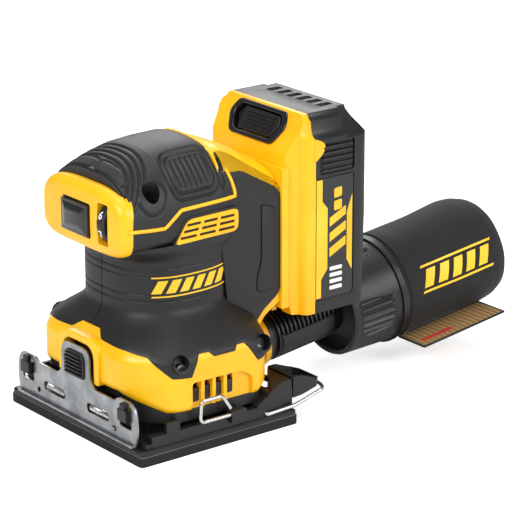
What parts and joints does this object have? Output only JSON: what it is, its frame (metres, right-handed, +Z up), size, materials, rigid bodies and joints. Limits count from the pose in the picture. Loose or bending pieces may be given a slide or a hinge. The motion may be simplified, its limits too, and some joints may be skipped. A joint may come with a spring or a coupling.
{
  "type": "palm sander",
  "caption": "Cordless quarter-sheet palm sander with square orbiting pad, wire and spring-plate paper clamps, slide-on battery and cloth dust bag.",
  "frame": {"origin": "centre of the sanding face, the underside of the foam pad", "axes": "+Z up out of the pad, +Y towards the battery and dust bag, +X to the side away from the switch's left"},
  "size_m": [0.115, 0.2712, 0.15],
  "materials": {
    "yellow_nylon": "satin",
    "black_overmould": "matte",
    "black_nylon": "satin",
    "gloss_black": "gloss",
    "clamp_steel": "satin",
    "spring_steel": "bright",
    "shaft_steel": "ground",
    "foam": "matte",
    "copper": "enamelled",
    "lamination": "matte",
    "zinc": "cast",
    "bag_cloth": "matte",
    "card": "matte",
    "label": "satin",
    "cell_sleeve": "satin",
    "board": "satin",
    "contact_brass": "bright"
  },
  "bodies": {
    "housing": {"battery_foot": "yellow_nylon", "bearing_carrier": "zinc", "control_module": "board", "cover_screws": "shaft_steel", "dust_port": "yellow_nylon", "dust_shroud": "black_nylon", "front_bezel": "yellow_nylon", "grip_left": "black_overmould", "grip_right": "black_overmould", "housing_left": "yellow_nylon", "housing_right": "yellow_nylon", "isolator_legs": "black_overmould", "lower_bearing": "shaft_steel", "side_vent_left": "yellow_nylon", "side_vent_right": "yellow_nylon", "skirt_screws": "shaft_steel", "speed_pot": "board", "stator": "lamination", "stator_coils": "copper", "switch_frame": "gloss_black", "switch_module": "black_nylon", "tool_terminals": "black_nylon", "top_cover": "black_overmould", "upper_bearing": "shaft_steel"},
    "rotor": {"motor_shaft": "shaft_steel", "crank": "shaft_steel", "pad_bolt": "shaft_steel", "fan": "black_nylon", "counterweight": "lamination", "rotor_core": "lamination", "rotor_magnets": "shaft_steel"},
    "platen": {"platen": "black_nylon", "foam_pad": "foam", "pad_bearing": "shaft_steel", "clamp_springs": "spring_steel", "rear_spring_wires": "spring_steel"},
    "front_clamp": {"front_clamp_plate": "clamp_steel", "front_clamp_grip": "black_overmould"},
    "rear_clamp": {"rear_clamp_plate": "clamp_steel", "rear_paddles": "black_nylon"},
    "left_loop": {"left_wire_loop": "spring_steel"},
    "right_loop": {"right_wire_loop": "spring_steel"},
    "switch": {"switch_rocker": "gloss_black"},
    "dial": {"speed_dial": "black_nylon"},
    "battery": {"battery_shell": "yellow_nylon", "battery_case": "black_nylon", "battery_labels": "label", "battery_cells": "cell_sleeve", "cell_holder": "black_nylon", "battery_contacts": "contact_brass", "battery_screws": "shaft_steel", "button_spring": "spring_steel"},
    "release_button": {"battery_button": "gloss_black"},
    "dust_bag": {"dust_tube": "black_overmould", "dust_cup": "black_nylon", "bag_ring": "black_nylon", "bag_fabric": "bag_cloth", "bag_frame": "spring_steel", "bag_tag": "card"}
  },
  "joints": [
    {"name": "rotor_spin", "type": "hinge", "parent": "housing", "child": "rotor", "pos_m": [0, 0.0008, 0.03], "axis": [0, 0, 1], "continuous": true},
    {"name": "platen_orbit", "type": "hinge", "parent": "rotor", "child": "platen", "pos_m": [0, 0, 0.016], "axis": [0, 0, 1], "continuous": true},
    {"name": "front_clamp_hinge", "type": "hinge", "parent": "platen", "child": "front_clamp", "pos_m": [0, -0.046, 0.024], "axis": [-1, 0, 0], "range_deg": [0, 12], "stiffness_Nm_per_rad": 0.4, "springref_deg": -17.19},
    {"name": "rear_clamp_hinge", "type": "hinge", "parent": "platen", "child": "rear_clamp", "pos_m": [0, 0.046, 0.015], "axis": [1, 0, 0], "range_deg": [0, 14], "stiffness_Nm_per_rad": 0.4, "springref_deg": -17.19},
    {"name": "left_loop_hinge", "type": "hinge", "parent": "platen", "child": "left_loop", "pos_m": [-0.056, 0, 0.0142], "axis": [0, -1, 0], "range_deg": [0, 80]},
    {"name": "right_loop_hinge", "type": "hinge", "parent": "platen", "child": "right_loop", "pos_m": [0.056, 0, 0.0142], "axis": [0, 1, 0], "range_deg": [0, 80]},
    {"name": "switch_rock", "type": "hinge", "parent": "housing", "child": "switch", "pos_m": [-0.002, -0.04, 0.111], "axis": [0, 0, 1], "range_deg": [0, 8]},
    {"name": "dial_turn", "type": "hinge", "parent": "housing", "child": "dial", "pos_m": [0.02, -0.0334, 0.112], "axis": [1, 0, 0], "range_deg": [-180, 15]},
    {"name": "battery_slide", "type": "slide", "parent": "housing", "child": "battery", "axis": [0, 0, 1], "range_m": [0, 0.1]},
    {"name": "release_press", "type": "slide", "parent": "battery", "child": "release_button", "axis": [0, 0.8427, -0.5384], "range_m": [0, 0.0025], "stiffness_N_per_m": 800, "springref_m": -0.001, "deforming": ["button_spring"]},
    {"name": "bag_pull", "type": "slide", "parent": "housing", "child": "dust_bag", "axis": [0, 0.9914, 0.1305], "range_m": [0, 0.04]}
  ],
  "couplings": [
    {"joint": "platen_orbit", "follows": "rotor_spin", "ratio": -1}
  ]
}
